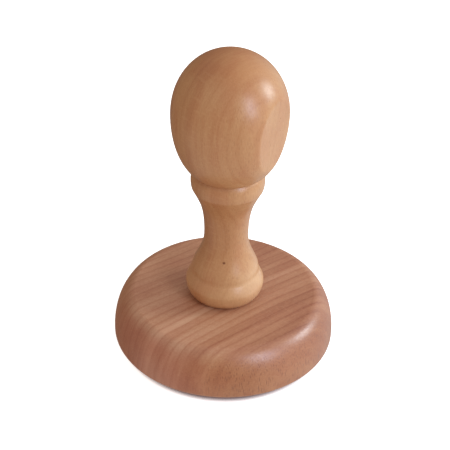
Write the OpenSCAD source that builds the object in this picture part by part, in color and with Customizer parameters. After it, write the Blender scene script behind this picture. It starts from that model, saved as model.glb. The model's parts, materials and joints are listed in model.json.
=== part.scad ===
// Wooden hand stamp: a turned egg handle on a round mount block, with an
// engraved rubber printing face on a foam cushion underneath.
//
// Z = 0 is the printing face, +Z runs up the handle, and -Y is the front,
// the side of the egg that carries the thumb flat.

/* [Mount block] */
// Diameter of the round wooden block
block_d = 75; // [60:1:90]
// Height of the wooden block
block_h = 16.3; // [14:0.1:22]
// Width of the rounded-over rim, seen from above
rim_round_w = 6.9; // [4:0.1:10]
// Height of the rounded-over rim
rim_round_h = 14; // [9:0.1:14]
// Angle of the fine edge left where the rim's curve meets the flat top
rim_edge_angle = 6; // [0:1:12]
// Radius of the softened lower edge
hem_r = 1.4; // [0.5:0.1:2]

/* [Handle] */
// Height of the handle above the block
handle_h = 91.8; // [84:0.1:100]
// Radius of the foot where it meets the block
foot_r = 9.8; // [9:0.1:11.2]
// Largest radius of the bead at the foot
bead_r = 13.15; // [12.5:0.05:14.5]
// Height of the bead's widest ring above the block
bead_z = 5.6; // [4:0.1:7]
// Radius at the top of the bead's slope
ledge_r = 11.55; // [10.5:0.05:12.5]
// Height of the top of the bead's slope
ledge_z = 9.45; // [8.5:0.05:11]
// Radius of the soft cove above the bead
cove_r = 11.2; // [10.5:0.05:12]
// Height of the soft cove above the bead
cove_z = 11.3; // [10:0.1:13]
// Radius of the slim waist
waist_r = 7.35; // [6.5:0.05:8.5]
// Height of the slimmest point of the waist
waist_z = 24.4; // [22:0.1:27]
// Radius where the waist meets the collar's cone
throat_r = 9.1; // [8:0.1:10]
// Height where the waist meets the collar's cone
throat_z = 37.1; // [35:0.1:38.5]
// Radius of the collar
collar_r = 12.2; // [10.5:0.05:13]
// Height of the collar's widest ring
collar_z = 46; // [45:0.1:47]

/* [Egg grip] */
// Radius of the groove between the collar and the egg
groove_r = 11.3; // [10:0.05:12]
// Height of the groove
groove_z = 49.1; // [48.5:0.1:50.5]
// Largest radius of the egg
egg_r = 19; // [17:0.1:20]
// Height of the egg's widest ring
egg_z = 70.4; // [68:0.1:73]
// Distance of the thumb flat from the handle's axis
flat_offset = 16.5; // [15:0.1:18]
// Height of the middle of the thumb flat above the block
flat_z = 69; // [66:0.1:72]
// Lean of the thumb flat, deeper towards the waist
flat_lean = 2.7; // [0:0.1:6]

/* [Screw] */
// Outer diameter of the screw's thread
screw_d = 4.5; // [4:0.1:5]
// Diameter of the screw's core
screw_core_d = 3; // [2.6:0.1:3.2]
// Length of the screw, head included
screw_l = 40; // [35:1:45]
// Diameter of the countersunk head
screw_head_d = 8.5; // [8:0.1:9]
// Distance from one thread crest to the next
screw_pitch = 2.2; // [1.8:0.1:2.6]
// Depth of the head below the block's underside
screw_sink = 0.3; // [0.1:0.1:0.5]
// Straight land at the edge of the head
head_land = 0.25; // [0.1:0.05:0.4]

/* [Printing face] */
// Diameter of the cushion and the rubber
die_d = 66; // [56:1:66]
// Thickness of the rubber's backing
die_back_h = 1.2; // [1:0.1:1.6]
// Height of the raised design
relief_h = 0.8; // [0.5:0.1:1]
// Thickness of the foam cushion
foam_h = 1.2; // [1:0.1:3]
// Thickness of each adhesive film
film_h = 0.1; // [0.05:0.05:0.2]
// Number of petals in the rosette
petals = 8; // [6:1:12]
// Number of dots in the ring around it
dots = 24; // [16:1:32]

/* [Hidden] */
$fn = 96;
eps = 0.01;

// Heights of the faces, from the printing face up
die_z = relief_h + die_back_h;
foam_z = die_z + film_h;
top_film_z = foam_z + foam_h;
block_z = top_film_z + film_h;
deck_z = block_z + block_h;

block_r = block_d / 2;
rim_steps = 14;
curve_steps = 14;

// Points of a cubic curve from a to d, pulled towards b and c
function bezier(a, b, c, d, n = curve_steps) =
    [for (i = [0:n]) let (t = i / n, s = 1 - t)
        s * s * s * a + 3 * s * s * t * b + 3 * s * t * t * c + t * t * t * d];

// Points of a quarter ellipse that climbs from its widest point to its top
function quarter(centre, w, h, from = 0, to = 90, n = curve_steps) =
    [for (i = [0:n]) let (a = from + (to - from) * i / n)
        centre + [w * cos(a), h * sin(a)]];

// A list of curves joined end to end, each shared point kept once
function chain(curves) =
    [for (i = [0:len(curves) - 1]) let (c = curves[i])
        for (j = [(i == 0 ? 0 : 1):len(c) - 1]) c[j]];

// ---- Mount block ----

// The rim's curve stops short of its top by the angle of the fine edge
rim_stop = 90 - atan(tan(rim_edge_angle) * rim_round_w / rim_round_h);
rim_w = rim_round_w / (1 - cos(rim_stop));
rim_h = rim_round_h / sin(rim_stop);

module block_blank() {
    rim_centre = [block_r - rim_w, block_h - rim_round_h];
    hem = [for (i = [0:4]) [block_r - hem_r, hem_r] + hem_r * [sin(i * 22.5), -cos(i * 22.5)]];
    rotate_extrude()
        polygon(concat([[0, 0]], hem,
                       quarter(rim_centre, rim_w, rim_h, 0, rim_stop, rim_steps),
                       [[0, block_h]]));
}

module mount_block() {
    clear_r = screw_d / 2 + 0.25;
    sink_r = screw_head_d / 2 + screw_sink + head_land + 0.05;
    color([0.72, 0.49, 0.37])
    translate([0, 0, block_z])
    difference() {
        block_blank();
        translate([0, 0, -eps])
            cylinder(r = clear_r, h = block_h + 2 * eps);
        translate([0, 0, -eps])
            cylinder(r1 = sink_r, r2 = 0, h = sink_r);
    }
}

// ---- Handle ----

module handle_blank() {
    foot = bezier([foot_r, 0], [foot_r + 2, 0.6], [bead_r, bead_z - 2.7], [bead_r, bead_z]);
    bead = bezier([bead_r, bead_z], [bead_r, bead_z + 1],
                  [ledge_r + 0.35, ledge_z - 0.6], [ledge_r, ledge_z]);
    cove = bezier([ledge_r, ledge_z], [ledge_r - 0.3, ledge_z + 0.65],
                  [cove_r + 0.08, cove_z - 0.65], [cove_r, cove_z]);
    flare = bezier([cove_r, cove_z], [cove_r - 0.4, cove_z + 3],
                   [waist_r, waist_z - 6.2], [waist_r, waist_z]);
    waist = bezier([waist_r, waist_z], [waist_r, waist_z + 3.5],
                   [throat_r - 1.5, throat_z - 4], [throat_r, throat_z]);
    cone = bezier([throat_r, throat_z], [throat_r + 0.7, throat_z + 1.8],
                  [collar_r - 1.1, collar_z - 4.4], [collar_r - 0.35, collar_z - 3]);
    collar = bezier([collar_r - 0.35, collar_z - 3], [collar_r - 0.05, collar_z - 2.2],
                    [collar_r, collar_z - 1], [collar_r, collar_z]);
    shoulder = bezier([collar_r, collar_z], [collar_r, groove_z - 1.2],
                      [groove_r + 0.2, groove_z - 0.4], [groove_r, groove_z]);
    lower_egg = bezier([groove_r, groove_z], [groove_r + 4.6, groove_z + 3.2],
                       [egg_r, egg_z - 10], [egg_r, egg_z], 2 * curve_steps);
    upper_egg = bezier([egg_r, egg_z], [egg_r, egg_z + 0.56 * (handle_h - egg_z)],
                       [0.59 * egg_r, handle_h], [0, handle_h], 2 * curve_steps);
    rotate_extrude()
        polygon(concat([[0, 0]],
                       chain([foot, bead, cove, flare, waist, cone, collar, shoulder,
                              lower_egg, upper_egg])));
}

module handle() {
    pilot_h = block_z + screw_sink + screw_l - deck_z + 1.5;
    color([0.80, 0.60, 0.42])
    translate([0, 0, deck_z])
    difference() {
        intersection() {
            handle_blank();
            translate([-block_r, -block_r, film_h])
                cube([block_d, block_d, handle_h]);
        }
        translate([0, 0, flat_z])
            rotate([flat_lean, 0, 0])
                translate([-egg_r, -flat_offset - block_r, -egg_r])
                    cube([2 * egg_r, block_r, 2 * egg_r]);
        cylinder(d = screw_core_d, h = pilot_h);
    }
}

module handle_glue_film() {
    color([0.90, 0.82, 0.60])
    translate([0, 0, deck_z])
    difference() {
        cylinder(r = foot_r - 0.3, h = film_h);
        translate([0, 0, -eps])
            cylinder(d = screw_d + 1, h = film_h + 2 * eps);
    }
}

// ---- Screw ----

module handle_screw() {
    head_r = screw_head_d / 2;
    shank_r = screw_d / 2;
    core_r = screw_core_d / 2;
    tip_h = 4;
    shank_l = block_h + 2;
    turns = floor((screw_l - shank_l - tip_h) / screw_pitch);
    thread_l = turns * screw_pitch;
    // Each crest of the thread stands on the core, one pitch above the last
    thread = [for (i = [0:turns - 1]) let (z = shank_l + i * screw_pitch)
        each [[core_r, z + 0.55 * screw_pitch], [shank_r, z + 0.78 * screw_pitch],
              [core_r, z + screw_pitch]]];
    color([0.78, 0.77, 0.72])
    translate([0, 0, block_z + screw_sink])
    difference() {
        rotate_extrude()
            polygon(concat([[0, 0], [head_r, 0], [head_r, head_land],
                            [shank_r, head_r - shank_r + head_land],
                            [shank_r, shank_l - 0.6], [core_r, shank_l]],
                           thread,
                           [[core_r, screw_l - tip_h], [0, screw_l]]));
        for (turn = [0, 90])
            rotate([0, 0, turn])
                translate([-2.2, -0.55, -eps])
                    cube([4.4, 1.1, 2.4]);
    }
}

// ---- Cushion and rubber ----

module disc(z, h) {
    translate([0, 0, z])
        cylinder(d = die_d, h = h);
}

module cushion_top_adhesive() {
    color([0.88, 0.86, 0.78]) disc(top_film_z, film_h);
}

module foam_cushion() {
    color([0.62, 0.62, 0.60]) disc(foam_z, foam_h);
}

module die_adhesive() {
    color([0.88, 0.86, 0.78]) disc(die_z, film_h);
}

// A raised ring of the design, w wide, with its outer edge at r
module relief_ring(r, w) {
    difference() {
        cylinder(r = r, h = relief_h + eps);
        translate([0, 0, -eps])
            cylinder(r = r - w, h = relief_h + 3 * eps);
    }
}

// A pointed petal from r1 to r2 along +X: the overlap of two discs
module petal(r1, r2, w) {
    half = (r2 - r1) / 2;
    r = (half * half + w * w / 4) / w;
    intersection_for (side = [-1, 1])
        translate([r1 + half, side * (r - w / 2), 0])
            cylinder(r = r, h = relief_h + eps);
}

module rubber_die() {
    border_r = die_d / 2 - 1;
    dot_ring_r = border_r - 6.2;
    rosette_r = dot_ring_r - 3.2;
    color([0.66, 0.22, 0.18]) {
        disc(relief_h, die_back_h);
        relief_ring(border_r, 1.4);
        relief_ring(border_r - 2.6, 0.7);
        for (i = [0:dots - 1])
            rotate([0, 0, (i + 0.5) * 360 / dots])
                translate([dot_ring_r, 0, 0])
                    cylinder(r = 1.1, h = relief_h + eps);
        for (i = [0:petals - 1])
            rotate([0, 0, i * 360 / petals])
                petal(6.5, rosette_r, 7.5);
        relief_ring(4.6, 1.2);
        cylinder(r = 1.8, h = relief_h + eps);
    }
}

handle();
mount_block();
handle_screw();
handle_glue_film();
cushion_top_adhesive();
foam_cushion();
die_adhesive();
rubber_die();
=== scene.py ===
"""Looks of a wooden hand stamp: a turned beech handle on a round mount block over a rubber face.

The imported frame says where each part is. The wooden parts are turned again here as smooth lathe
work with softened edges, the screw gets a true helical thread, and the rubber gets sloped shoulders.
"""

import json
import logging
import math
from dataclasses import dataclass
from enum import Enum

import bmesh
import bpy
from mathutils import Matrix, Vector

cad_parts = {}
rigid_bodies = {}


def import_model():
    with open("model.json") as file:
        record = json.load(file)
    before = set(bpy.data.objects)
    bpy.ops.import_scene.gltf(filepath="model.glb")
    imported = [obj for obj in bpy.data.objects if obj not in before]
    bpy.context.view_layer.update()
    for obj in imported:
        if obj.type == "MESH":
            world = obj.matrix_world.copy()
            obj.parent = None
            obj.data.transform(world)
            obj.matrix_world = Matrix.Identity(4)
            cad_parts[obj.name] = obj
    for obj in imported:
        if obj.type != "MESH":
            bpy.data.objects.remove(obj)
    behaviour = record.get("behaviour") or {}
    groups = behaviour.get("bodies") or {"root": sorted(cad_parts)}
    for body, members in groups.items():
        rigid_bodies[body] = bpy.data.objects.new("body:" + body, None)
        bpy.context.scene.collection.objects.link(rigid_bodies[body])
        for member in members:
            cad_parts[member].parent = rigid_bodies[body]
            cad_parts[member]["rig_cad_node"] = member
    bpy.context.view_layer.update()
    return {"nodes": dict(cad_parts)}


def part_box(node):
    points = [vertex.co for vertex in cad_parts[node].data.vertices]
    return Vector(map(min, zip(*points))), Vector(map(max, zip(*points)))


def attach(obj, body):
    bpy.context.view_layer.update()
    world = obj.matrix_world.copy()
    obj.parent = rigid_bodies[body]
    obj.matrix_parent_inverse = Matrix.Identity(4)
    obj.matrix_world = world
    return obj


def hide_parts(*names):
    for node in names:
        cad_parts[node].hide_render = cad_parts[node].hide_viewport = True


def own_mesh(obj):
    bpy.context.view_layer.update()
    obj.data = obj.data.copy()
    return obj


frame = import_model()

LOG = logging.getLogger("hand_stamp")

MM = 0.001

Point = tuple[float, float]
Triple = tuple[float, float, float]
Colour = Triple
Socket = bpy.types.NodeSocket
Ring = list[bmesh.types.BMVert]

UP = Vector((0.0, 0.0, 1.0))
# A ring of a lathe outline that is smaller than this is a single point on the axis
POLE_RADIUS = 1e-9


# ---------------------------------------------------------------- directions and colours


def compass(degrees: float) -> Vector:
    """A level unit vector, turned from +X towards +Y.

    Args:
        degrees: The angle from +X, seen from above.

    Returns:
        The unit vector.
    """
    angle = math.radians(degrees)
    return Vector((math.cos(angle), math.sin(angle), 0.0))


def srgb(red: int, green: int, blue: int) -> Colour:
    """A colour as the eye reads it, turned into the renderer's linear values.

    Args:
        red: Red, 0 to 255.
        green: Green, 0 to 255.
        blue: Blue, 0 to 255.

    Returns:
        The linear colour.
    """
    def linear(value: int) -> float:
        """One channel in linear light."""
        share = value / 255
        return share / 12.92 if share <= 0.04045 else ((share + 0.055) / 1.055) ** 2.4

    return linear(red), linear(green), linear(blue)


# ---------------------------------------------------------------- outlines


@dataclass(frozen=True)
class Bend:
    """One stretch of a turned outline, which starts where the stretch before it ends.

    The two pulls are measured from its start and from its end.
    """

    end: Point
    leave: Point
    arrive: Point
    steps: int = 24


def bezier(a: Point, b: Point, c: Point, d: Point, steps: int) -> list[Point]:
    """Points of a cubic curve.

    Args:
        a: Where the curve starts.
        b: The point that its start is pulled towards.
        c: The point that its end is pulled towards.
        d: Where the curve ends.
        steps: How many pieces the curve is cut into.

    Returns:
        The points, both ends among them.
    """
    points = []
    for i in range(steps + 1):
        t = i / steps
        s = 1 - t
        weights = (s ** 3, 3 * s * s * t, 3 * s * t * t, t ** 3)
        points.append(tuple(sum(w * p[axis] for w, p in zip(weights, (a, b, c, d))) for axis in (0, 1)))
    return points


def follow(start: Point, bends: tuple[Bend, ...]) -> list[Point]:
    """An outline through a row of bends.

    Args:
        start: The outline's first point.
        bends: Its stretches, in order.

    Returns:
        The points, both ends among them.
    """
    points = [start]
    for bend in bends:
        a, d = points[-1], bend.end
        b = (a[0] + bend.leave[0], a[1] + bend.leave[1])
        c = (d[0] + bend.arrive[0], d[1] + bend.arrive[1])
        points += bezier(a, b, c, d, bend.steps)[1:]
    return points


def arc(centre: Point, width: float, height: float, start: float, end: float, steps: int) -> list[Point]:
    """Points along part of an ellipse.

    Args:
        centre: The ellipse's centre.
        width: Its reach along the radius.
        height: Its reach along the height.
        start: The angle of the first point, in degrees.
        end: The angle of the last point, in degrees.
        steps: How many pieces the arc is cut into.

    Returns:
        The points, both ends among them.
    """
    points = []
    for i in range(steps + 1):
        angle = math.radians(start + (end - start) * i / steps)
        points.append((centre[0] + width * math.cos(angle), centre[1] + height * math.sin(angle)))
    return points


def line(a: Point, b: Point, steps: int) -> list[Point]:
    """Evenly spaced points along a straight line.

    Args:
        a: Where the line starts.
        b: Where the line ends.
        steps: How many pieces the line is cut into.

    Returns:
        The points, both ends among them.
    """
    return [(a[0] + (b[0] - a[0]) * i / steps, a[1] + (b[1] - a[1]) * i / steps)
            for i in range(steps + 1)]


def chain(*curves: list[Point]) -> list[Point]:
    """Joins curves end to end.

    Args:
        curves: The curves, in order. Each starts where the one before it ends.

    Returns:
        All their points, with each shared point once.
    """
    points = list(curves[0])
    for curve in curves[1:]:
        points += curve[1:]
    return points


# ---------------------------------------------------------------- meshes


def disc_size(low: Vector, high: Vector) -> Point:
    """The size of a round part that stands on the axis.

    Args:
        low: The low corner of its box, in metres.
        high: The high corner of its box, in metres.

    Returns:
        Its radius and its thickness, in millimetres.
    """
    return (high.x - low.x) / 2 / MM, (high.z - low.z) / MM


def stand(mesh_data: bmesh.types.BMesh, height: float) -> None:
    """Brings a mesh from millimetres to metres and stands it at its height.

    Args:
        mesh_data: The mesh.
        height: Where its foot stands, in metres.
    """
    place = Matrix.Translation((0, 0, height)) @ Matrix.Scale(MM, 4)
    bmesh.ops.transform(mesh_data, verts=mesh_data.verts, matrix=place)


def object_from(mesh_data: bmesh.types.BMesh, name: str, sharp_angle: float = 32.0) -> bpy.types.Object:
    """Makes a smooth-shaded object and keeps its true corners sharp.

    Args:
        mesh_data: The finished mesh, which is freed here.
        name: The new object's name.
        sharp_angle: Edges that turn by more degrees than this stay sharp.

    Returns:
        The object, linked to the scene.
    """
    bmesh.ops.recalc_face_normals(mesh_data, faces=mesh_data.faces)
    for face in mesh_data.faces:
        face.smooth = True
    limit = math.radians(sharp_angle)
    for edge in mesh_data.edges:
        edge.smooth = not (edge.is_manifold and edge.calc_face_angle(0.0) > limit)
    mesh = bpy.data.meshes.new(name)
    mesh_data.to_mesh(mesh)
    mesh_data.free()
    piece = bpy.data.objects.new(name, mesh)
    bpy.context.scene.collection.objects.link(piece)
    return piece


def skin(mesh_data: bmesh.types.BMesh, rings: list[Ring], closed: bool = False) -> None:
    """Joins rings of vertices with faces, each ring to the next.

    Args:
        mesh_data: The mesh that gets the new faces.
        rings: The rings, in order. A ring of one vertex is a pole.
        closed: Whether the last ring joins the first.
    """
    pairs = list(zip(rings, rings[1:]))
    if closed:
        pairs.append((rings[-1], rings[0]))
    for lower, upper in pairs:
        count = max(len(lower), len(upper))
        for i in range(count):
            j = (i + 1) % count
            if len(lower) == 1:
                mesh_data.faces.new((lower[0], upper[i], upper[j]))
            elif len(upper) == 1:
                mesh_data.faces.new((lower[i], lower[j], upper[0]))
            else:
                mesh_data.faces.new((lower[i], lower[j], upper[j], upper[i]))


def lathe(mesh_data: bmesh.types.BMesh, outline: list[Point], segments: int,
          centre: Point = (0.0, 0.0), closed: bool = False) -> None:
    """Turns an outline of radius and height round a vertical axis.

    Args:
        mesh_data: The mesh that gets the new faces.
        outline: Radius and height of each point, in order. A radius of 0 gives a pole.
        segments: How many steps go round.
        centre: Where the axis stands.
        closed: Whether the outline's last point joins its first, as in a ring.
    """
    rings = []
    for radius, height in outline:
        ring = []
        for i in range(1 if radius < POLE_RADIUS else segments):
            angle = 2 * math.pi * i / segments
            ring.append(mesh_data.verts.new((centre[0] + radius * math.cos(angle),
                                             centre[1] + radius * math.sin(angle), height)))
        rings.append(ring)
    skin(mesh_data, rings, closed)


def raised_shape(mesh_data: bmesh.types.BMesh, outline: list[Point], foot: float, flare: float,
                 round_off: float) -> None:
    """A solid with an outline that widens from its printing top, at height 0, to its foot.

    Args:
        mesh_data: The mesh that gets the new faces.
        outline: The outline of the printing top, in order round a centre that it can see.
        foot: Height of the foot.
        flare: How far the foot stands out past the top.
        round_off: Size of the softened top edge.
    """
    count = len(outline)
    centre = Vector((sum(p[0] for p in outline) / count, sum(p[1] for p in outline) / count))
    rings = []
    for grow, height in ((-round_off, 0.0), (0.0, round_off), (flare, foot)):
        ring = []
        for i, point in enumerate(outline):
            along = Vector(outline[(i + 1) % count]) - Vector(outline[i - 1])
            side = Vector((along.y, -along.x)).normalized()
            if side.dot(Vector(point) - centre) < 0:
                side = -side
            ring.append(mesh_data.verts.new((*(Vector(point) + side * grow), height)))
        rings.append(ring)
    skin(mesh_data, rings)
    mesh_data.faces.new(rings[0])
    mesh_data.faces.new(list(reversed(rings[-1])))


# ---------------------------------------------------------------- patterns and material graphs


@dataclass(frozen=True)
class Cloud:
    """A cloudy pattern, in cycles per millimetre. Its shift keeps it apart from other clouds."""

    scale: Triple
    detail: float = 2.0
    rough: float = 0.5
    shift: Triple = (0.0, 0.0, 0.0)


@dataclass(frozen=True)
class Marks:
    """Small scattered marks, by how many there are per millimetre.

    The fade says at which share of the way to the next mark one starts to show, and is full.
    """

    scale: Triple
    shift: Triple = (4.0, 4.0, 8.0)
    fade: Point = (0.42, 0.10)


class Cut(Enum):
    """How a piece was sawn from its board."""

    UPRIGHT = "the grain stands up, as in a turned handle"
    FLAT = "the grain lies level, as in a round cut from a plank"


class Face(Enum):
    """Kinds of face, with the normal's reach along a direction where each starts and is full."""

    SIDE = (0.9, 0.45)  # stands up, so it reaches little along the vertical
    LEVEL = (0.88, 0.98)  # lies level
    END_GRAIN = (0.5, 0.92)  # looks along the grain
    FLANK = (0.3, 0.75)  # looks across the rings
    RAY_ENDS = (0.45, 0.85)  # looks across the rings, and shows the dark ends of the rays
    RAY_SIDES = (0.35, 0.9)  # looks along the rings, and shows the pale sides of the rays


class Graph:
    """A node tree, with short calls for the nodes that the finishes and the room share."""

    def __init__(self, tree: bpy.types.NodeTree) -> None:
        """Takes the tree.

        Args:
            tree: The node tree that gets the nodes.
        """
        self.tree = tree

    def node(self, kind: str, **values: object) -> bpy.types.Node:
        """A new node with some of its properties set.

        Args:
            kind: The node's type.
            values: The properties, by name.

        Returns:
            The node.
        """
        made = self.tree.nodes.new(kind)
        for key, value in values.items():
            setattr(made, key, value)
        return made

    def feed(self, target: Socket, source: Socket | float | Triple) -> None:
        """Links a socket to another, or sets it to a plain value.

        Args:
            target: The input to feed.
            source: The output to link, or the value.
        """
        if isinstance(source, bpy.types.NodeSocket):
            self.tree.links.new(source, target)
        else:
            target.default_value = source

    def place(self) -> Socket:
        """Position on the piece, in millimetres."""
        return self.stretch(self.node("ShaderNodeTexCoord").outputs["Object"], (1 / MM,) * 3)

    def facing(self) -> Socket:
        """The surface's own normal, in the piece's axes."""
        return self.node("ShaderNodeTexCoord").outputs["Normal"]

    def vector(self, operation: str, a: Socket, b: Triple | Vector) -> bpy.types.Node:
        """One step of vector arithmetic.

        Args:
            operation: The Vector Math node's operation, such as ADD.
            a: The first vector.
            b: The second vector, the same all over the piece.

        Returns:
            The node, which gives the result as a vector or as a value.
        """
        made = self.node("ShaderNodeVectorMath", operation=operation)
        self.feed(made.inputs[0], a)
        self.feed(made.inputs[1], b)
        return made

    def stretch(self, vector: Socket, scale: Triple) -> Socket:
        """A vector with each axis scaled."""
        return self.vector("MULTIPLY", vector, scale).outputs["Vector"]

    def shift(self, vector: Socket, offset: Triple) -> Socket:
        """A vector moved by an offset."""
        return self.vector("ADD", vector, offset).outputs["Vector"]

    def dot(self, vector: Socket, direction: Vector) -> Socket:
        """How far a vector reaches along a direction."""
        return self.vector("DOT_PRODUCT", vector, direction).outputs["Value"]

    def length(self, vector: Socket) -> Socket:
        """A vector's length."""
        return self.vector("LENGTH", vector, (0.0, 0.0, 0.0)).outputs["Value"]

    def join(self, values: tuple[Socket, Socket, Socket]) -> Socket:
        """A vector from three values.

        Args:
            values: Its reach along each axis.

        Returns:
            The vector.
        """
        made = self.node("ShaderNodeCombineXYZ")
        for target, source in zip(made.inputs, values):
            self.feed(target, source)
        return made.outputs[0]

    def maths(self, operation: str, a: Socket | float, b: Socket | float = 0.0,
              clamp: bool = False) -> Socket:
        """One step of arithmetic.

        Args:
            operation: The Math node's operation, such as ADD.
            a: The first value.
            b: The second value, where the operation has one.
            clamp: Whether the result is held between 0 and 1.

        Returns:
            The result.
        """
        made = self.node("ShaderNodeMath", operation=operation, use_clamp=clamp)
        self.feed(made.inputs[0], a)
        self.feed(made.inputs[1], b)
        return made.outputs[0]

    def add(self, a: Socket | float, b: Socket | float) -> Socket:
        """a plus b."""
        return self.maths("ADD", a, b)

    def times(self, a: Socket | float, b: Socket | float) -> Socket:
        """a times b."""
        return self.maths("MULTIPLY", a, b)

    def swing(self, value: Socket, width: float = 1.0) -> Socket:
        """A value between 0 and 1, turned into a swing to both sides of 0, of that full width."""
        return self.times(self.add(value, -0.5), width)

    def steps(self, value: Socket, low: float, high: float, to_high: float = 1.0) -> Socket:
        """Climbs smoothly from 0 over a range of values, and holds its level past both ends.

        Args:
            value: The value that it follows.
            low: Where the climb starts.
            high: Where the climb ends.
            to_high: The level at the end.

        Returns:
            The level.
        """
        made = self.node("ShaderNodeMapRange", interpolation_type="SMOOTHSTEP")
        for target, source in zip(made.inputs, (value, low, high, 0.0, to_high)):
            self.feed(target, source)
        return made.outputs[0]

    def looks(self, reach: Socket, kind: Face) -> Socket:
        """How much a face is of a kind, by its normal's reach along the kind's direction."""
        return self.steps(self.maths("ABSOLUTE", reach), *kind.value)

    def noise(self, vector: Socket, cloud: Cloud) -> Socket:
        """Cloudy noise.

        Args:
            vector: Position in millimetres.
            cloud: The pattern.

        Returns:
            A value between 0 and 1, about 0.5 on average.
        """
        made = self.node("ShaderNodeTexNoise", noise_dimensions="3D")
        self.feed(made.inputs["Vector"], self.shift(self.stretch(vector, cloud.scale), cloud.shift))
        for name, value in (("Scale", 1.0), ("Detail", cloud.detail), ("Roughness", cloud.rough)):
            self.feed(made.inputs[name], value)
        return made.outputs["Fac"]

    def scatter(self, vector: Socket, marks: Marks) -> Socket:
        """Small scattered marks.

        Args:
            vector: Position in millimetres.
            marks: The pattern.

        Returns:
            A value that is 1 in the middle of a mark and 0 between the marks.
        """
        made = self.node("ShaderNodeTexVoronoi", voronoi_dimensions="3D", feature="F1")
        self.feed(made.inputs["Vector"], self.shift(self.stretch(vector, marks.scale), marks.shift))
        self.feed(made.inputs["Scale"], 1.0)
        return self.steps(made.outputs["Distance"], *marks.fade)

    def ramp(self, value: Socket, stops: tuple[tuple[float, Colour], ...]) -> Socket:
        """A colour that follows a value through a few stops.

        Args:
            value: The value, between 0 and 1.
            stops: Place and colour of each stop, in order.

        Returns:
            The colour.
        """
        made = self.node("ShaderNodeValToRGB")
        elements = made.color_ramp.elements
        while len(elements) < len(stops):
            elements.new(0.5)
        for element, (at, colour) in zip(elements, stops):
            element.position = at
            element.color = (*colour, 1.0)
        self.feed(made.inputs[0], value)
        return made.outputs[0]

    def level(self, value: Socket, stops: tuple[Point, ...]) -> Socket:
        """A grey level that follows a value through a few stops."""
        return self.ramp(value, tuple((at, (grey,) * 3) for at, grey in stops))

    def tint(self, share: Socket | float, base: Socket | Colour, over: Socket | Colour,
             blend: str = "MIX") -> Socket:
        """One colour laid over another.

        Args:
            share: How much of the upper colour shows.
            base: The lower colour.
            over: The upper colour.
            blend: How the two mix.

        Returns:
            The mixed colour.
        """
        made = self.node("ShaderNodeMix", data_type="RGBA", blend_type=blend)
        self.feed(made.inputs["Factor"], share)
        for name, source in (("A", base), ("B", over)):
            target = next(s for s in made.inputs if s.name == name and s.type == "RGBA")
            self.feed(target, source if isinstance(source, bpy.types.NodeSocket) else (*source, 1.0))
        return next(s for s in made.outputs if s.type == "RGBA")


class Surface(Graph):
    """A new material, with a principled shader for its patterns to feed."""

    def __init__(self, name: str) -> None:
        """Starts the material.

        Args:
            name: The material's name.
        """
        self.material = bpy.data.materials.new(name)
        self.material.use_nodes = True
        super().__init__(self.material.node_tree)
        self.tree.nodes.clear()
        output = self.node("ShaderNodeOutputMaterial")
        self.shader = self.node("ShaderNodeBsdfPrincipled")
        self.feed(output.inputs["Surface"], self.shader.outputs["BSDF"])

    def paint(self, target: str, source: Socket) -> None:
        """Feeds a pattern to one of the shader's sockets."""
        self.feed(self.shader.inputs[target], source)

    def bump(self, height: Socket, depth: float) -> None:
        """Roughens the shading.

        Args:
            height: The height pattern.
            depth: How deep it is, in millimetres.
        """
        made = self.node("ShaderNodeBump")
        self.feed(made.inputs["Strength"], 1.0)
        self.feed(made.inputs["Distance"], depth * MM)
        self.feed(made.inputs["Height"], height)
        self.paint("Normal", made.outputs["Normal"])

    def set(self, **values: float) -> None:
        """Sets plain numbers on the shader's own sockets, with _ for each space."""
        for key, value in values.items():
            self.shader.inputs[key.replace("_", " ")].default_value = value


# ---------------------------------------------------------------- finishes


@dataclass(frozen=True)
class KnotOrSheenSpot:
    """A soft patch laid over the wood's colour, in millimetres, used for the pin knots in the wood and
    for a pale painted highlight.
    """

    place: Triple
    half_size: Triple
    strength: float
    tone: Colour = srgb(96, 46, 20)
    fade: Point = (1.0, 0.35)


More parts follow.
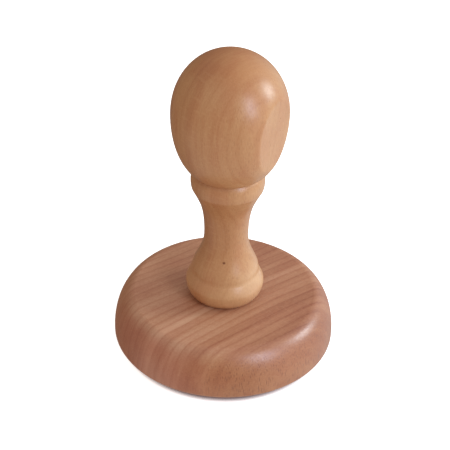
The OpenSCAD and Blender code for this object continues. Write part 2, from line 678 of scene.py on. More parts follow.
@dataclass(frozen=True, kw_only=True)
class Beech:
    """Lacquered beech, with growth rings as nearly flat sheets that stand on the grain.

    Widths and lengths are in millimetres. A depth of tone runs from 0, pale, to 1, deep, and the
    stops give its colours. The bands give the depth across the rings, the lengths along the grain.
    """

    name: str
    cut: Cut
    grain: Vector
    across: Vector
    stops: tuple[tuple[float, Colour], ...]
    bands: tuple[Point, ...]
    lengths: tuple[Point, ...]
    ring_width: float = 2.3
    ring_contrast: float
    year_spread: float = 0.75
    late_wood: tuple[Point, ...] = ((0.0, 1.0), (0.07, 0.62), (0.28, 0.18), (0.72, 0.0), (0.93, 0.30),
                                    (1.0, 1.0))
    ring_bends: Cloud = Cloud((0.014, 0.035, 0.022), 1.0, 0.4, (3.1, 7.7, 1.3))
    ring_wander: float = 6.4
    broad_bands: Cloud = Cloud((0.012, 0.20, 0.03), 3.0, 0.55)
    band_contrast: float = 0.52
    fine_streaks: Cloud = Cloud((0.03, 1.1, 0.12), 3.0, 0.6, (11.0, 2.0, 5.0))
    streak_contrast: float
    speckle: Cloud = Cloud((0.9, 2.2, 2.2), 2.0, 0.6, (1.0, 9.0, 4.0))
    speckle_contrast: float = 0.4
    end_rings: float = -0.35
    flank_calm: float = 0.0
    dash_marks: Marks
    dash_tone: Colour
    dash_strength: float
    fleck_marks: Marks = Marks((0.9, 0.14, 0.8), (8.0, 1.0, 2.0), (0.42, 0.12))
    fleck_strength: float = 0.22
    blush: Colour = srgb(236, 204, 196)
    blush_clouds: Cloud = Cloud((0.05, 0.16, 0.11), 3.0, 0.6, (6.0, 3.0, 9.0))
    blush_fade: Point = (0.42, 0.62)
    blush_strength: float = 0.3
    end_tone: Colour
    end_strength: float = 0.8
    side_tone: Colour = srgb(255, 251, 226)
    side_strength: float = 0.8
    pores: Cloud = Cloud((0.35, 2.6, 2.6), 3.0, 0.6, (2.0, 2.0, 2.0))
    roughness: float = 0.31
    pore_roughness: float = 0.22
    level_roughness: float = 0.2
    ior: float = 1.48
    bump_depth: float = 0.05
    pore_relief: float = 0.6
    dash_relief: float = -0.7
    knots_and_sheen: tuple[KnotOrSheenSpot, ...] = ()

    def board(self, graph: Graph, vector: Socket) -> tuple[Socket, Socket, Socket]:
        """Splits a vector into the board's own directions.

        Args:
            graph: The material's graph.
            vector: A vector in the piece's axes.

        Returns:
            Its reach along the grain, across the rings and along the rings.
        """
        directions = (self.grain, self.across, self.grain.cross(self.across))
        return tuple(graph.dot(vector, direction) for direction in directions)

    def ring_place(self, graph: Graph, at: Socket, across: Socket) -> Socket:
        """Reach across the rings, with the slow bends of a grown tree.

        Args:
            graph: The material's graph.
            at: Position in the board's own directions.
            across: Its reach across the rings.

        Returns:
            The bent reach, in millimetres.
        """
        return graph.add(across, graph.swing(graph.noise(at, self.ring_bends), self.ring_wander))

    def ring_depth(self, graph: Graph, moved: Socket, end: Socket, flank: Socket) -> Socket:
        """How dark the growth rings make the wood.

        Args:
            graph: The material's graph.
            moved: Reach across the rings.
            end: How much the face shows end grain.
            flank: How much the face looks across the rings, where they lie nearly flat.

        Returns:
            The depth of tone that the rings add.
        """
        count = graph.maths("DIVIDE", moved, self.ring_width)
        late = graph.level(graph.maths("FRACT", count), self.late_wood)
        own = graph.node("ShaderNodeTexWhiteNoise", noise_dimensions="1D")
        graph.feed(own.inputs["W"], graph.maths("FLOOR", count))
        apart = graph.swing(own.outputs["Value"], self.year_spread)
        stronger = graph.add(1.0, graph.times(end, self.end_rings))
        stronger = graph.add(stronger, graph.times(flank, -self.flank_calm))
        return graph.times(graph.times(graph.add(late, apart), self.ring_contrast), stronger)

    def profile(self, graph: Graph, reach: Socket, stops: tuple[Point, ...]) -> Socket:
        """A depth of tone that follows a reach through a few stops.

        Args:
            graph: The material's graph.
            reach: The reach, in millimetres.
            stops: Reach and depth of each stop, in order.

        Returns:
            The depth of tone.
        """
        low, high = stops[0][0], stops[-1][0]
        share = graph.maths("DIVIDE", graph.add(reach, -low), high - low)
        return graph.level(share, tuple(((at - low) / (high - low), depth) for at, depth in stops))

    def tone(self, graph: Graph, at: Socket, reach: tuple[Socket, Socket],
             faces: tuple[Socket, Socket]) -> Socket:
        """The depth of the wood's tone before its dashes and its end grain.

        Args:
            graph: The material's graph.
            at: Position in the board's own directions.
            reach: Its reach along the grain and across the rings.
            faces: How much the face shows end grain, and how much it looks across the rings.

        Returns:
            The depth of tone.
        """
        along, across = reach
        moved = self.ring_place(graph, at, across)
        total = graph.add(self.profile(graph, moved, self.bands), self.ring_depth(graph, moved, *faces))
        total = graph.add(total, graph.swing(self.profile(graph, along, self.lengths)))
        for cloud, contrast in ((self.broad_bands, self.band_contrast),
                                (self.fine_streaks, self.streak_contrast),
                                (self.speckle, self.speckle_contrast)):
            total = graph.add(total, graph.swing(graph.noise(at, cloud), contrast))
        return graph.maths("ADD", total, 0.0, clamp=True)

    def rays(self, graph: Graph, at: Socket, looking: Socket, marks: Marks) -> Socket:
        """The marks of the rays, on the faces that show them.

        Args:
            graph: The material's graph.
            at: Position in the board's own directions.
            looking: How much the face shows the marks.
            marks: Their pattern.

        Returns:
            How much of a mark shows, 0 to 1.
        """
        return graph.times(graph.scatter(at, marks), looking)

    def add_knots_and_sheen(self, graph: Graph, place: Socket, colour: Socket) -> Socket:
        """Lays the pin knots and the painted highlight over a colour.

        Args:
            graph: The material's graph.
            place: Position in millimetres.
            colour: The colour so far.

        Returns:
            The colour with the spots.
        """
        for spot in self.knots_and_sheen:
            reach = graph.stretch(graph.shift(place, tuple(-c for c in spot.place)),
                                  tuple(1 / c for c in spot.half_size))
            inside = graph.steps(graph.length(reach), *spot.fade, spot.strength)
            colour = graph.tint(inside, colour, spot.tone)
        return colour

    def make(self) -> bpy.types.Material:
        """Builds the material.

        Returns:
            The finished material.
        """
        graph = Surface(self.name)
        place, face = graph.place(), graph.facing()
        along, across, third = self.board(graph, place)
        at = graph.join((along, across, third))
        face_along, face_across, face_third = self.board(graph, face)
        upwards = graph.dot(face, UP)
        side, level = graph.looks(upwards, Face.SIDE), graph.looks(upwards, Face.LEVEL)
        end, flank = graph.looks(face_along, Face.END_GRAIN), graph.looks(face_across, Face.FLANK)

        colour = graph.ramp(self.tone(graph, at, (along, across), (end, flank)), self.stops)
        blush = graph.steps(graph.noise(at, self.blush_clouds), *self.blush_fade)
        washes = [(blush, self.blush_strength, self.blush), (end, self.end_strength, self.end_tone)]
        if self.cut is Cut.FLAT:
            washes.append((flank, self.side_strength, self.side_tone))
        for share, strength, wash in washes:
            colour = graph.tint(graph.times(share, strength), colour, wash, "MULTIPLY")
        dashes = self.rays(graph, at, graph.looks(face_across, Face.RAY_ENDS), self.dash_marks)
        dashes = graph.times(dashes, graph.times(side, self.dash_strength))
        colour = graph.tint(dashes, colour, self.dash_tone)
        flecks = self.rays(graph, at, graph.looks(face_third, Face.RAY_SIDES), self.fleck_marks)
        colour = graph.tint(graph.times(flecks, self.fleck_strength), colour, self.stops[0][1])
        graph.paint("Base Color", self.add_knots_and_sheen(graph, place, colour))

        pores = graph.noise(at, self.pores)
        roughness = graph.add(graph.swing(pores, self.pore_roughness), self.roughness)
        graph.paint("Roughness", graph.add(roughness, graph.times(level, self.level_roughness)))
        graph.set(IOR=self.ior)
        relief = graph.add(graph.times(pores, self.pore_relief), graph.times(dashes, self.dash_relief))
        graph.bump(relief, self.bump_depth)
        return graph.material


@dataclass(frozen=True)
class Plain:
    """A moulded or coated finish with a fine cloudy variation."""

    name: str
    colour: Colour
    shade: Colour
    cloud: float = 0.25
    grain: float = 3.0
    cloud_share: float = 0.65
    fade: Point = (0.35, 0.65)
    roughness: float = 0.6
    grain_roughness: float = 0.3
    bump_depth: float = 0.03
    metallic: float = 0.0
    specular: float = 0.5

    def make(self) -> bpy.types.Material:
        """Builds the material.

        Returns:
            The finished material.
        """
        graph = Surface(self.name)
        place = graph.place()
        clouds = graph.noise(place, Cloud((self.cloud,) * 3, 3.0, 0.55))
        grain = graph.noise(place, Cloud((self.grain,) * 3, 2.0, 0.5, (5.0, 1.0, 3.0)))
        mixed = graph.add(graph.times(clouds, self.cloud_share), graph.times(grain, 1 - self.cloud_share))
        share = graph.steps(mixed, *self.fade)
        graph.paint("Base Color", graph.ramp(share, ((0.0, self.shade), (1.0, self.colour))))
        graph.paint("Roughness", graph.add(graph.swing(grain, self.grain_roughness), self.roughness))
        graph.set(Metallic=self.metallic, Specular_IOR_Level=self.specular)
        graph.bump(grain, self.bump_depth)
        return graph.material


@dataclass(frozen=True)
class PaleFloor:
    """A plain white floor that glows a little, so that only the contact shadow darkens it; that contact
    shadow is painted into its glow and its colour from an occlusion node.
    """

    tone: Colour = (0.86, 0.86, 0.86)
    # Colour of the painted contact shadow, laid over the floor's tone near the stamp
    shade: Colour = (0.34, 0.31, 0.32)
    glow: float = 0.8
    contact: float = 0.0034
    painted_shadow_levels: tuple[Point, ...] = ((0.0, 0.0), (0.55, 0.04), (0.74, 0.4), (0.9, 1.0))
    clouds: Cloud = Cloud((0.01, 0.01, 0.01))
    roughness: float = 0.6
    cloud_roughness: float = 0.2

    def make(self) -> bpy.types.Material:
        """Builds the material.

        Returns:
            The finished material.
        """
        graph = Surface("pale_floor")
        # Painted shadow: the occlusion node dims the glow and tints the colour towards the shadow colour
        # near the stamp
        occlusion_for_painted_shadow = graph.node("ShaderNodeAmbientOcclusion", samples=16)
        graph.feed(occlusion_for_painted_shadow.inputs["Distance"], self.contact)
        clear = graph.level(occlusion_for_painted_shadow.outputs["AO"], self.painted_shadow_levels)
        graph.paint("Emission Color", clear)
        graph.paint("Base Color", graph.tint(clear, self.shade, self.tone))
        clouds = graph.noise(graph.place(), self.clouds)
        graph.paint("Roughness", graph.add(self.roughness, graph.times(clouds, self.cloud_roughness)))
        graph.set(Emission_Strength=self.glow, Specular_IOR_Level=0.1)
        return graph.material


@dataclass(frozen=True)
class Finishes:
    """Every finish of the stamp."""

    block_grain: Vector = compass(-21.0)
    block_across: Vector = compass(-111.0)
    handle_across: Vector = compass(-108.0)
    steel: Plain = Plain("zinc_plate", (0.62, 0.61, 0.57), (0.50, 0.49, 0.46), roughness=0.32,
                         metallic=1.0)
    foam: Plain = Plain("closed_cell_foam", srgb(158, 158, 154), srgb(118, 118, 116), cloud=0.4,
                        grain=5.0, roughness=0.85, bump_depth=0.12, specular=0.3)
    rubber: Plain = Plain("moulded_rubber", srgb(176, 62, 46), srgb(150, 48, 36), cloud=0.15, grain=6.0,
                          roughness=0.62, bump_depth=0.02, specular=0.4)
    glue: Plain = Plain("dried_wood_glue", srgb(206, 170, 108), srgb(170, 124, 66), roughness=0.3)
    tape: Plain = Plain("clear_tape", srgb(226, 222, 208), srgb(206, 200, 182), roughness=0.35)

    def block(self) -> Beech:
        """Pink-brown steamed beech with a satin lacquer.

        Returns:
            The block's finish.
        """
        return Beech(
            name="block_beech", cut=Cut.FLAT, grain=self.block_grain, across=self.block_across,
            stops=((0.0, srgb(197, 153, 120)), (0.4, srgb(173, 120, 86)), (0.7, srgb(153, 96, 64)),
                   (1.0, srgb(126, 69, 43))),
            bands=((-37.5, 0.40), (-28.0, 0.30), (-19.0, 0.34), (-10.0, 0.46), (-4.0, 0.46),
                   (0.0, 0.32), (5.0, 0.20), (9.0, 0.30), (11.5, 0.22), (13.5, 0.36), (17.0, 0.30),
                   (20.5, 0.50), (24.0, 0.40), (27.0, 0.66), (31.0, 0.58), (37.5, 0.50)),
            lengths=((-37.5, 0.40), (-20.0, 0.42), (0.0, 0.5), (15.0, 0.60), (37.5, 0.67)),
            ring_width=2.9, ring_contrast=0.23, ring_wander=8.8, streak_contrast=0.3, flank_calm=0.8,
            dash_marks=Marks((1.8, 1.8, 0.28)), dash_tone=srgb(116, 66, 40), dash_strength=0.6,
            fleck_strength=0.06, end_tone=srgb(240, 212, 210),
            pores=Cloud((1.7, 1.7, 0.45), 3.0, 0.6, (2.0, 2.0, 2.0)), roughness=0.37, ior=1.7)

    def handle(self) -> Beech:
        """Yellow-tan beech with a gloss lacquer, two pin knots above the foot, and a pale painted
        highlight on the front of the bead.

        Returns:
            The handle's finish.
        """
        return Beech(
            name="handle_beech", cut=Cut.UPRIGHT, grain=UP, across=self.handle_across,
            stops=((0.0, srgb(200, 157, 112)), (0.5, srgb(179, 130, 87)), (0.8, srgb(161, 109, 69)),
                   (1.0, srgb(136, 82, 48))),
            bands=((-20.0, 0.42), (20.0, 0.36)),
            lengths=((19.0, 0.22), (30.0, 0.34), (40.0, 0.56), (58.0, 0.62), (66.0, 0.48),
                     (112.0, 0.48)),
            ring_contrast=0.08, streak_contrast=0.28,
            dash_marks=Marks((0.36, 1.3, 1.3)), dash_tone=srgb(120, 74, 42), dash_strength=0.16,
            end_tone=srgb(240, 222, 208),
            # The first patch is a painted highlight: a pale sheen on the front of the bead, where a
            # lamp's broad highlight would fall. The other two are pin knots.
            knots_and_sheen=(KnotOrSheenSpot((0.5, -11.5, 28.0), (10.0, 9.0, 9.0), 0.20, srgb(228, 196, 160)),
                   KnotOrSheenSpot((-7.9, -4.1, 37.6), (0.75, 0.75, 0.65), 0.9),
                   KnotOrSheenSpot((-9.5, -4.6, 34.9), (0.4, 0.4, 0.35), 0.4)))


# ---------------------------------------------------------------- sub-assemblies


def dress(piece: bpy.types.Object, material: bpy.types.Material, body: str) -> None:
    """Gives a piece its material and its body.

    Args:
        piece: The piece.
        material: Its material.
        body: The body that it rides on. A CAD node rides on its own body already.
    """
    piece.data.materials.clear()
    piece.data.materials.append(material)
    if "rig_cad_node" not in piece:
        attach(piece, body)


@dataclass
class MountBlock:
    """The round wooden block, in millimetres, turned from its underside up."""

    rim_width: float = 6.9
    rim_height: float = 14.0
    rim_edge_angle: float = 6.0
    hem: float = 1.4
    bore: float = 2.5
    sink: float = 4.85
    segments: int = 256

    def outline(self, radius: float, height: float) -> list[Point]:
        """The block's closed outline.

        Args:
            radius: The block's radius.
            height: The block's height.

        Returns:
            Radius and height of each point, all the way round.
        """
        edge_slope = math.tan(math.radians(self.rim_edge_angle)) * self.rim_width / self.rim_height
        stop = 90 - math.degrees(math.atan(edge_slope))
        width = self.rim_width / (1 - math.cos(math.radians(stop)))
        tall = self.rim_height / math.sin(math.radians(stop))
        rim = arc((radius - width, height - self.rim_height), width, tall, 0, stop, 48)
        hem = arc((radius - self.hem, self.hem), self.hem, self.hem, -90, 0, 10)
        deck = line(rim[-1], (self.bore, height), 28)
        wall = line((self.bore, height), (self.bore, self.sink - self.bore), 6)
        sink = line((self.bore, self.sink - self.bore), (self.sink, 0.0), 3)
        under = line((self.sink, 0.0), hem[0], 20)
        return chain(hem, rim, deck, wall, sink, under)[:-1]

    def build(self, material: bpy.types.Material) -> bpy.types.Object:
        """Turns the block and puts it in its CAD place.

        Args:
            material: The block's finish.

        Returns:
            The finished piece.
        """
        low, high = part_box("mount_block")
        mesh_data = bmesh.new()
        lathe(mesh_data, self.outline(*disc_size(low, high)), self.segments, closed=True)
        stand(mesh_data, low.z)
        piece = object_from(mesh_data, "turned_block", sharp_angle=5.0)
        dress(piece, material, "mount")
        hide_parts("mount_block")
        return piece


@dataclass
class Handle:
    """The turned handle, in millimetres above the block's top. A point is a radius and a height."""

    foot: Point = (9.8, 0.0)
    bead: Point = (13.15, 5.6)
    ledge: Point = (11.55, 9.45)
    cove: Point = (11.2, 11.3)
    waist: Point = (7.35, 24.4)
    throat: Point = (9.1, 37.1)
    cone: Point = (11.85, 43.0)
    collar: Point = (12.2, 46.0)
    groove: Point = (11.3, 49.1)
    egg: Point = (19.0, 70.4)
    top: Point = (0.0, 91.8)
    # How far the dome's sides and its top run straight, as shares of its height and its radius
    dome_sides: float = 0.56
    dome_top: float = 0.59
    film: float = 0.1
    sole_round: float = 0.15
    pilot: Point = (1.5, 25.1)
    flat_offset: float = 16.5
    flat_height: float = 69.0
    flat_lean: float = 2.7
    flat_softness: float = 0.3
    segments: int = 288

    def outline(self) -> list[Point]:
        """The handle's outline, from the top of its pilot hole to the top of the egg.

        Returns:
            Radius and height of each point.
        """
        dome = self.top[1] - self.egg[1]
        turned = follow(self.foot, (
            Bend(self.bead, (2.0, 0.6), (0.0, -2.7)),
            Bend(self.ledge, (0.0, 1.0), (0.35, -0.6)),
            Bend(self.cove, (-0.3, 0.65), (0.08, -0.65)),
            Bend(self.waist, (-0.4, 3.0), (0.0, -6.2)),
            Bend(self.throat, (0.0, 3.5), (-1.5, -4.0)),
            Bend(self.cone, (0.7, 1.8), (-0.75, -1.4)),
            Bend(self.collar, (0.3, 0.8), (0.0, -1.0), 10),
            Bend(self.groove, (0.0, 1.9), (0.2, -0.4), 10),
            Bend(self.egg, (4.6, 3.2), (0.0, -10.0), 64),
            Bend(self.top, (0.0, self.dome_sides * dome), (self.dome_top * self.egg[0], 0.0), 64)))
        turned = [point for point in turned if point[1] > self.film]
        wall = [(0.0, self.pilot[1]), self.pilot, (self.pilot[0], self.film)]
        sole = line(wall[-1], (turned[0][0] - self.sole_round, self.film), 5)
        return chain(wall, sole) + turned

    def press_flat(self, mesh_data: bmesh.types.BMesh) -> None:
        """Planes the thumb flat on the front of the egg, with a softly sanded edge.

        Args:
            mesh_data: The handle's mesh, in millimetres above the block's top.
        """
        lean = math.radians(self.flat_lean)
        normal = Vector((0.0, -math.cos(lean), -math.sin(lean)))
        centre = Vector((0.0, 0.0, self.flat_height))
        for vertex in mesh_data.verts:
            past = (vertex.co - centre).dot(normal) - self.flat_offset
            if vertex.co.z < self.groove[1] or past < -self.flat_softness:
                continue
            eased = 0.0
            if past <= self.flat_softness:
                eased = -((self.flat_softness - past) ** 2) / (4 * self.flat_softness)
            vertex.co += normal * (eased - past)

    def build(self, material: bpy.types.Material) -> bpy.types.Object:
        """Turns the handle and puts it in its CAD place.

        Args:
            material: The handle's finish.

        Returns:
            The finished piece.
        """
        mesh_data = bmesh.new()
        lathe(mesh_data, self.outline(), self.segments)
        self.press_flat(mesh_data)
        stand(mesh_data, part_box("mount_block")[1].z)
        piece = object_from(mesh_data, "turned_handle", sharp_angle=20.0)
        dress(piece, material, "mount")
        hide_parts("handle")
        return piece


@dataclass
class Screw:
    """The countersunk screw that holds the handle, in millimetres from its head up."""

    head_radius: float = 4.25
    head_land: float = 0.25
    shank_radius: float = 2.25
    shank_length: float = 18.3
    core_radius: float = 1.5
    pitch: float = 2.2
    crest_half_width: float = 0.26
    crest_fade: float = 1.6
    length: float = 40.0
    tip: float = 4.0
    recess_reach: float = 2.2
    recess_width: float = 1.1
    recess_depth: float = 2.4
    recess_taper: float = 0.7
    cut_clearance: float = 1.0
    segments: int = 48
    rows_per_mm: int = 6

    @property
    def cone_top(self) -> float:
        """Where the head's cone meets the shank."""
        return self.head_radius - self.shank_radius + self.head_land

    def radius_at(self, height: float, turn: float) -> float:
        """The screw's radius at a height and a share of a turn.

        Args:
            height: Height above the head's face.
            turn: Where it is round the axis, 0 to 1.

        Returns:
            The radius.
        """
        if height <= self.cone_top:
            return self.head_radius - max(0.0, height - self.head_land)
        if height <= self.shank_length:
            return self.shank_radius
        taper = min(1.0, (self.length - height) / self.tip)
        phase = (height / self.pitch - turn) % 1.0
        crest = max(0.0, 1 - abs(phase - 0.5) / self.crest_half_width)
        run_in = min(1.0, (height - self.shank_length) / self.pitch)
        core = self.core_radius + (self.shank_radius - self.core_radius) * (1 - run_in)
        crown = (self.shank_radius - core) * crest
        return (core + crown * min(1.0, self.crest_fade * taper)) * taper

    def shape(self) -> bmesh.types.BMesh:
        """The screw's body, before its recess is cut.

        Returns:
            The mesh, in millimetres.
        """
        mesh_data = bmesh.new()
        heights = [0.0, self.head_land, self.cone_top]
        rows = [i / self.rows_per_mm for i in range(int(self.length * self.rows_per_mm))]
        heights += [row for row in rows if row > self.cone_top]
        rings = []
        for height in heights:
            ring = []
            for i in range(self.segments):
                turn = i / self.segments
                radius, angle = self.radius_at(height, turn), 2 * math.pi * turn
                place = (radius * math.cos(angle), radius * math.sin(angle), height)
                ring.append(mesh_data.verts.new(place))
            rings.append(ring)
        skin(mesh_data, [*rings, [mesh_data.verts.new((0, 0, self.length))]])
        mesh_data.faces.new(list(reversed(rings[0])))
        return mesh_data

    def cut_recess(self, piece: bpy.types.Object, base: float) -> None:
        """Cuts the cross recess into the head.

        Args:
            piece: The screw.
            base: Height of the head's face, in metres.
        """
        cutter_data = bmesh.new()
        inner, outer = self.recess_width / 2, self.recess_reach
        arm = [(outer, -inner), (outer, inner), (inner, inner)]
        cross = []
        for _ in range(4):
            cross += arm
            arm = [(-y, x) for x, y in arm]
        floor = [cutter_data.verts.new((x, y, -self.cut_clearance)) for x, y in cross]
        roof = [cutter_data.verts.new((x * self.recess_taper, y * self.recess_taper, self.recess_depth))
                for x, y in cross]
        skin(cutter_data, [floor, roof])
        cutter_data.faces.new(list(reversed(floor)))
        cutter_data.faces.new(roof)
        stand(cutter_data, base)
        cutter = object_from(cutter_data, "recess_cutter")
        modifier = piece.modifiers.new("recess", "BOOLEAN")
        modifier.operation = "DIFFERENCE"
        modifier.solver = "EXACT"
        modifier.object = cutter
        bpy.context.view_layer.update()
        cut = piece.evaluated_get(bpy.context.evaluated_depsgraph_get())
        mesh = bpy.data.meshes.new_from_object(cut)
        piece.modifiers.clear()
        piece.data = mesh
        bpy.data.objects.remove(cutter)

    def build(self, material: bpy.types.Material) -> bpy.types.Object:
        """Makes the screw and puts it in its CAD place.

        Args:
            material: The screw's finish.

        Returns:
            The finished piece.
        """
        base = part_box("handle_screw")[0].z
        mesh_data = self.shape()
        stand(mesh_data, base)
        piece = object_from(mesh_data, "wood_screw")
        self.cut_recess(piece, base)
        dress(piece, material, "mount")
        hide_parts("handle_screw")
        return piece


@dataclass
class PrintingFace:
    """The foam cushion and the rubber die, in millimetres."""

    border_inset: float = 1.0
    border_width: float = 1.4
    line_gap: float = 2.6
    line_width: float = 0.7
    dot_gap: float = 6.2
    dot_radius: float = 1.1
    dots: int = 24
    petal_gap: float = 3.2
    petal_start: float = 6.5
    petal_width: float = 7.5
    petals: int = 8
    heart_radius: float = 4.6
    heart_width: float = 1.2
    button_radius: float = 1.8
    relief: float = 0.8
    root: float = 0.05
    flare: float = 0.25
    round_off: float = 0.06
    edge_round: float = 0.25
    back_chamfer: float = 0.05
    foam_pinch: float = 0.18
    foam_give: float = 0.5
    segments: int = 192
    dot_segments: int = 32

    @property
    def foot(self) -> float:
        """Height at which the raised shapes end, just inside the rubber's back."""
        return self.relief + self.root

    def ring(self, mesh_data: bmesh.types.BMesh, radius: float, width: float) -> None:
        """A raised ring with sloped shoulders.

        Args:
            mesh_data: The mesh that gets the ring.
            radius: Its outer radius on the printing face.
            width: Its width on the printing face.
        """
        inner, soft = radius - width, self.round_off
        outline = [(inner + soft, 0.0), (radius - soft, 0.0), (radius, soft),
                   (radius + self.flare, self.foot), (inner - self.flare, self.foot), (inner, soft)]
        lathe(mesh_data, outline, self.segments, closed=True)

    def dot(self, mesh_data: bmesh.types.BMesh, centre: Point, radius: float) -> None:
        """A raised dot with sloped shoulders.

        Args:
            mesh_data: The mesh that gets the dot.
            centre: Where it stands.
            radius: Its radius on the printing face.
        """
        outline = [(0.0, 0.0), (radius - self.round_off, 0.0), (radius, self.round_off),
                   (radius + self.flare, self.foot), (0.0, self.foot)]
        lathe(mesh_data, outline, self.dot_segments, centre)

    def petal(self, mesh_data: bmesh.types.BMesh, turn: float, end: float) -> None:
        """A raised petal between two circular sides.

        Args:
            mesh_data: The mesh that gets the petal.
            turn: Its direction, in degrees.
            end: Radius of its outer tip.
        """
        half = (end - self.petal_start) / 2
        bow = (half * half + self.petal_width ** 2 / 4) / self.petal_width
        reach = math.degrees(math.asin(half / bow))
        middle = self.petal_start + half
        upper = arc((middle, self.petal_width / 2 - bow), bow, bow, 90 - reach, 90 + reach, 24)
        lower = [(x, -y) for x, y in reversed(upper)]
        rotation = Matrix.Rotation(math.radians(turn), 2)
        outline = [tuple(rotation @ Vector(point)) for point in upper[:-1] + lower[:-1]]
        raised_shape(mesh_data, outline, self.foot, self.flare, self.round_off)

    def build_die(self, material: bpy.types.Material) -> bpy.types.Object:
        """Moulds the rubber die and puts it in its CAD place.

        Args:
            material: The rubber's finish.

        Returns:
            The finished piece.
        """
        low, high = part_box("rubber_die")
        radius, thick = disc_size(low, high)
        soft, chamfer = self.edge_round, self.back_chamfer
        mesh_data = bmesh.new()
        back = chain(line((0.0, self.relief), (radius - soft, self.relief), 16),
                     arc((radius - soft, self.relief + soft), soft, soft, -90, 0, 6),
                     line((radius, self.relief + soft), (radius, thick - chamfer), 1),
                     line((radius, thick - chamfer), (radius - chamfer, thick), 1),
                     line((radius - chamfer, thick), (0.0, thick), 16))
        lathe(mesh_data, back, self.segments)
        border = radius - self.border_inset
        dot_ring = border - self.dot_gap
        self.ring(mesh_data, border, self.border_width)
        self.ring(mesh_data, border - self.line_gap, self.line_width)
        for i in range(self.dots):
            place = compass((i + 0.5) * 360 / self.dots) * dot_ring
            self.dot(mesh_data, (place.x, place.y), self.dot_radius)
        for i in range(self.petals):
            self.petal(mesh_data, i * 360 / self.petals, dot_ring - self.petal_gap)
        self.ring(mesh_data, self.heart_radius, self.heart_width)
        self.dot(mesh_data, (0.0, 0.0), self.button_radius)
        stand(mesh_data, low.z)
        piece = object_from(mesh_data, "moulded_die")
        dress(piece, material, "die")
        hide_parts("rubber_die")
        return piece

    def build_foam(self, material: bpy.types.Material) -> bpy.types.Object:
        """Cuts the foam cushion, with a slightly bulging edge, and gives it a mesh of its own.

        Args:
            material: The foam's finish.

        Returns:
            The finished piece.
        """
        low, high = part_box("foam_cushion")
        radius, thick = disc_size(low, high)
        bulge = radius + self.foam_pinch / 3
        edge = bezier((radius - self.foam_pinch, 0.0), (bulge, thick * 0.25),
                      (bulge, thick * 0.75), (radius - self.foam_pinch, thick), 10)
        outline = chain(line((0.0, 0.0), edge[0], 12), edge, line(edge[-1], (0.0, thick), 12))
        mesh_data = bmesh.new()
        lathe(mesh_data, outline, self.segments)
        stand(mesh_data, low.z)
        piece = object_from(mesh_data, "cut_foam")
        dress(piece, material, "mount")
        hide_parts("foam_cushion")
        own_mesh(piece)
        return piece


@dataclass
class Films:
    """The thin layers that hold the pieces together: CAD nodes with a better finish."""

    glue_node: str = "handle_glue_film"
    tape_nodes: tuple[str, ...] = ("cushion_top_adhesive", "die_adhesive")

    def build(self, glue: bpy.types.Material, tape: bpy.types.Material) -> list[bpy.types.Object]:
        """Dresses the films.

        Args:
            glue: The finish of the glue between the handle and the block.
            tape: The finish of the two adhesive films.

        Returns:
            The dressed CAD nodes.
        """
        dress(frame["nodes"][self.glue_node], glue, "")
        for node in self.tape_nodes:
            dress(frame["nodes"][node], tape, "")
        return [frame["nodes"][node] for node in (self.glue_node, *self.tape_nodes)]


# ---------------------------------------------------------------- studio


@dataclass(frozen=True)
class Lamp:
    """A soft rectangular lamp, in metres and watts."""

    name: str
    place: Triple
    size: Point
    power: float
    colour: Colour

    def build(self, target: Triple) -> None:
        """Makes the lamp.

        Args:
            target: The point that it looks at.
        """
        data = bpy.data.lights.new(self.name, "AREA")
        data.shape = "RECTANGLE"
        data.size, data.size_y = self.size
        data.energy = self.power
        data.color = self.colour
        lamp = bpy.data.objects.new(self.name, data)
        lamp.location = self.place
        toward = Vector(target) - Vector(self.place)
        lamp.rotation_euler = toward.to_track_quat("-Z", "Y").to_euler()
        bpy.context.scene.collection.objects.link(lamp)


@dataclass(frozen=True)
class Glow:
    """A soft patch of the room: where it lies, its tone, and the reach where it starts and is full."""

    toward: Vector
    tone: Colour
    fade: Point


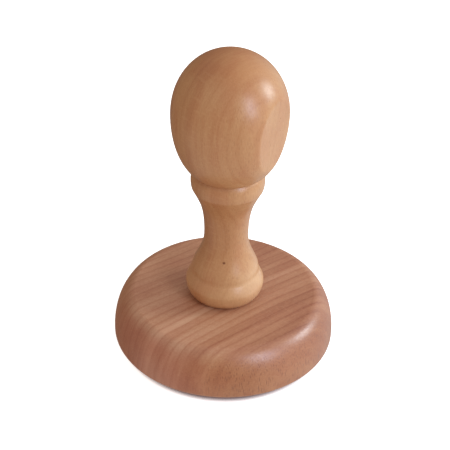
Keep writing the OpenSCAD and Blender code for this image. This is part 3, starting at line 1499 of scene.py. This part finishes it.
@dataclass
class Studio:
    """The floor, the light and the camera. Lengths are in metres and angles in degrees."""

    camera_place: Triple = (-0.3675, -0.2122, 0.3453)
    aim: Triple = (-0.00278, -0.00106, 0.0490)
    roll: float = 1.83
    lens: float = 125.06
    sensor: float = 36.0
    near_clip: float = 0.01
    far_clip: float = 20.0
    floor_side: float = 6.0
    room: Colour = (0.56, 0.42, 0.36)
    ceiling: Glow = Glow(UP, (0.66, 0.61, 0.57), (0.0, 1.0))
    table: Glow = Glow(-UP, (0.88, 0.77, 0.70), (0.0, 0.8))
    window: Glow = Glow(Vector((0.60, -0.76, 0.10)), (1.00, 1.04, 1.08), (0.1, 0.95))
    corner: Glow = Glow(Vector((0.45, 0.80, -0.40)), (0.24, 0.17, 0.13), (0.45, 0.95))
    lamp_target: Triple = (0.0, 0.0, 0.06)
    lamps: tuple[Lamp, ...] = (
        Lamp("window_lamp", (0.374, -0.485, 0.329), (0.22, 0.22), 2.1, (0.84, 0.94, 1.0)),
        Lamp("front_lamp", (-0.134, -0.425, 0.265), (0.14, 0.26), 1.0, (0.74, 0.80, 1.0)))

    def build_floor(self) -> None:
        """A plain pale floor under the stamp, left out of its reflections and its bounced light."""
        mesh_data = bmesh.new()
        bmesh.ops.create_grid(mesh_data, x_segments=8, y_segments=8, size=self.floor_side / 2)
        floor = object_from(mesh_data, "studio_floor")
        floor.data.materials.append(PaleFloor().make())
        floor.visible_glossy = floor.visible_diffuse = False

    def build_sky(self) -> None:
        """A plain warm room with a paler ceiling and table, a window on one side and a dim corner."""
        world = bpy.data.worlds.new("studio_room")
        world.use_nodes = True
        sky = Graph(world.node_tree)
        look = sky.node("ShaderNodeTexCoord").outputs["Generated"]
        colour = self.room
        for glow in (self.ceiling, self.table, self.window, self.corner):
            nearness = sky.dot(look, glow.toward.normalized())
            colour = sky.tint(sky.steps(nearness, *glow.fade), colour, glow.tone)
        sky.feed(world.node_tree.nodes["Background"].inputs["Color"], colour)
        bpy.context.scene.world = world

    def build_camera(self) -> None:
        """The camera, above and to the left of the thumb flat."""
        data = bpy.data.cameras.new("studio_camera")
        data.lens = self.lens
        data.sensor_width = self.sensor
        data.clip_start, data.clip_end = self.near_clip, self.far_clip
        camera = bpy.data.objects.new("studio_camera", data)
        camera.location = self.camera_place
        look = Vector(self.aim) - Vector(self.camera_place)
        turn = look.to_track_quat("-Z", "Y").to_matrix().to_4x4()
        camera.rotation_euler = (turn @ Matrix.Rotation(math.radians(self.roll), 4, "Z")).to_euler()
        bpy.context.scene.collection.objects.link(camera)
        bpy.context.scene.camera = camera

    def build(self) -> None:
        """Sets up the whole studio."""
        self.build_floor()
        self.build_sky()
        self.build_camera()
        for lamp in self.lamps:
            lamp.build(self.lamp_target)
        bpy.context.scene.view_settings.view_transform = "Standard"


def main() -> None:
    """Builds the stamp and its studio."""
    logging.basicConfig(level=logging.INFO, format="%(name)s: %(message)s")
    finishes, face = Finishes(), PrintingFace()
    Studio().build()
    pieces = [MountBlock().build(finishes.block().make()), Handle().build(finishes.handle().make()),
              Screw().build(finishes.steel.make()), face.build_foam(finishes.foam.make()),
              face.build_die(finishes.rubber.make()),
              *Films().build(finishes.glue.make(), finishes.tape.make())]
    for piece in pieces:
        LOG.info("%s: %d faces", piece.name, len(piece.data.polygons))


if __name__ == "__main__":
    main()
